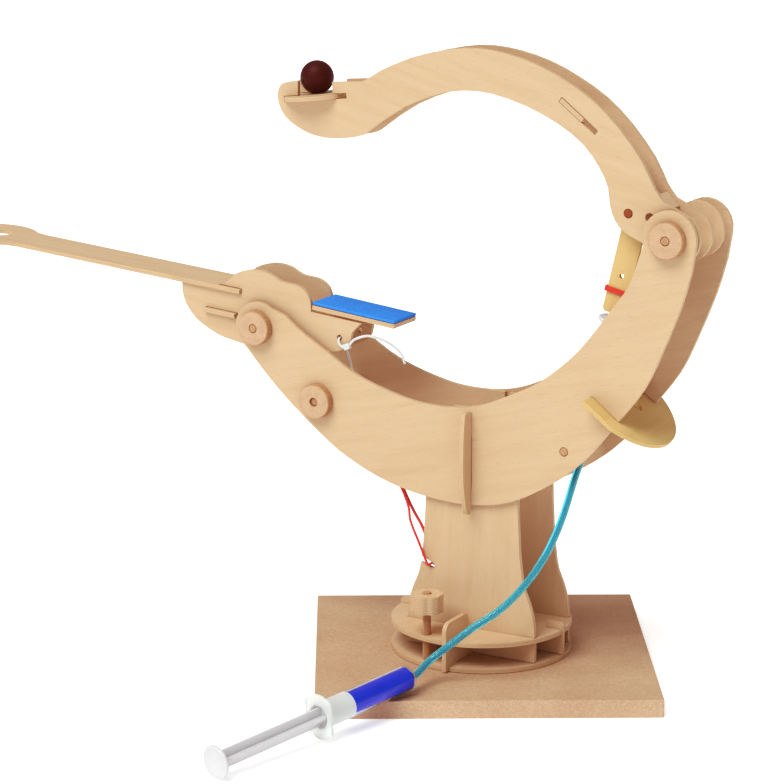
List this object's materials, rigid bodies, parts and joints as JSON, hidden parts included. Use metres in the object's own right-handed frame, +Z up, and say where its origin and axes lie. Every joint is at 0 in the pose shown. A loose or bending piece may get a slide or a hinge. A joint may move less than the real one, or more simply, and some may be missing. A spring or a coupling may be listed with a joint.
{
  "type": "hydraulic arm kit",
  "caption": "Plywood hydraulic arm on a turntable base: a syringe-driven curved upper arm holds a ball and swings down on to a sprung throwing lever.",
  "frame": {"origin": "centre of the base board's underside", "axes": "+Z up; X and Y along the board's sides; the syringe lies towards -X -Y; the turret is turned 30 degrees clockwise from +X seen from above"},
  "size_m": [0.5136, 0.4301, 0.4111],
  "materials": {
    "plywood": "light sanded plywood with darker cut edges",
    "mdf": "matt brown fibreboard",
    "dowel_wood": "turned wooden dowel and discs",
    "clear_plastic": "translucent moulded plastic",
    "white_plastic": "satin white moulded plastic",
    "blue_fluid": "blue dyed water",
    "tube_plastic": "soft clear tube holding blue water",
    "blue_foam": "fine closed-cell foam",
    "red_rubber": "red elastic band",
    "ball_dark_red": "dark red smooth ball",
    "white_nylon": "thin white nylon"
  },
  "bodies": {
    "base": {"mdf_base": "mdf", "turret_pivot_dowel": "dowel_wood", "pivot_retaining_ring": "dowel_wood", "master_barrel": "clear_plastic", "master_fluid": "blue_fluid", "fluid_tube": "tube_plastic"},
    "upper_arm": {"arm_plate_front": "plywood", "arm_plate_rear": "plywood", "arm_brace_middle": "plywood", "arm_brace_lower": "plywood", "ball_holder": "plywood", "crank_pin": "dowel_wood"},
    "ball": {"ball": "ball_dark_red"},
    "link": {"link_plate": "plywood", "link_band": "red_rubber"},
    "slave_plunger": {"slave_plunger": "white_plastic", "slave_seal": "white_plastic"},
    "master_plunger": {"master_plunger": "white_plastic", "master_seal": "white_plastic"},
    "throwing_lever": {"lever_plate_front": "plywood", "lever_plate_rear": "plywood", "spoon_strip": "plywood", "pad_deck": "plywood", "foam_pad": "blue_foam", "lever_brace": "plywood", "zip_tie": "white_nylon"},
    "turret": {"arm_pivot_cap_front": "dowel_wood", "arm_pivot_cap_rear": "dowel_wood", "arm_pivot_dowel": "dowel_wood", "arm_spacer_disc": "plywood", "arm_washer": "plywood", "c_plate_front": "plywood", "c_plate_rear": "plywood", "fin_front": "plywood", "fin_rear": "plywood", "flange_plate": "plywood", "handle_dowel": "dowel_wood", "lever_pivot_cap_front": "dowel_wood", "lever_pivot_cap_rear": "dowel_wood", "lever_pivot_dowel": "dowel_wood", "lever_washer": "plywood", "lower_disc": "plywood", "rubber_band": "red_rubber", "slave_barrel": "clear_plastic", "spoke_front": "plywood", "spoke_left": "plywood", "spoke_rear": "plywood", "spoke_right": "plywood", "syringe_clamp_lower": "plywood", "syringe_clamp_upper": "plywood", "tie_cap_front": "dowel_wood", "tie_cap_rear": "dowel_wood", "tie_dowel": "dowel_wood", "tower_front": "plywood", "tower_rear": "plywood", "tube_guide_dowel": "dowel_wood", "turning_handle": "plywood", "upper_disc": "plywood"}
  },
  "joints": [
    {"name": "turret_turn", "type": "hinge", "parent": "base", "child": "turret", "pos_m": [0, 0, 0.02], "axis": [0, 0, 1], "range_deg": [-40, 40], "deforming": ["fluid_tube"]},
    {"name": "arm_pivot", "type": "hinge", "parent": "turret", "child": "upper_arm", "pos_m": [0.12228, -0.0706, 0.3026], "axis": [-0.5, -0.866, 0], "range_deg": [-12, 20]},
    {"name": "lever_pivot", "type": "hinge", "parent": "turret", "child": "throwing_lever", "pos_m": [-0.13337, 0.077, 0.2175], "axis": [0.5, 0.866, 0], "range_deg": [-10, 22], "deforming": ["rubber_band"]},
    {"name": "link_pivot", "type": "hinge", "parent": "upper_arm", "child": "link", "pos_m": [0.0963, -0.0556, 0.3154], "axis": [-0.5, -0.866, 0], "range_deg": [-20.5, 12.5]},
    {"name": "slave_slide", "type": "slide", "parent": "turret", "child": "slave_plunger", "axis": [0.1948, -0.1125, 0.9744], "range_m": [-0.0113, 0.0068]},
    {"name": "master_slide", "type": "slide", "parent": "base", "child": "master_plunger", "axis": [0.7027, 0.7081, 0.0694], "range_m": [-0.0113, 0.0068], "deforming": ["master_fluid"]},
    {"name": "ball_lift", "type": "slide", "parent": "upper_arm", "child": "ball", "axis": [0, 0, 1], "range_m": [0, 0.03]}
  ],
  "couplings": [
    {"joint": "link_pivot", "follows": "arm_pivot", "ratio": -1},
    {"joint": "slave_slide", "follows": "arm_pivot", "m_per_rad": -0.0321},
    {"joint": "master_slide", "follows": "arm_pivot", "m_per_rad": -0.0321}
  ]
}
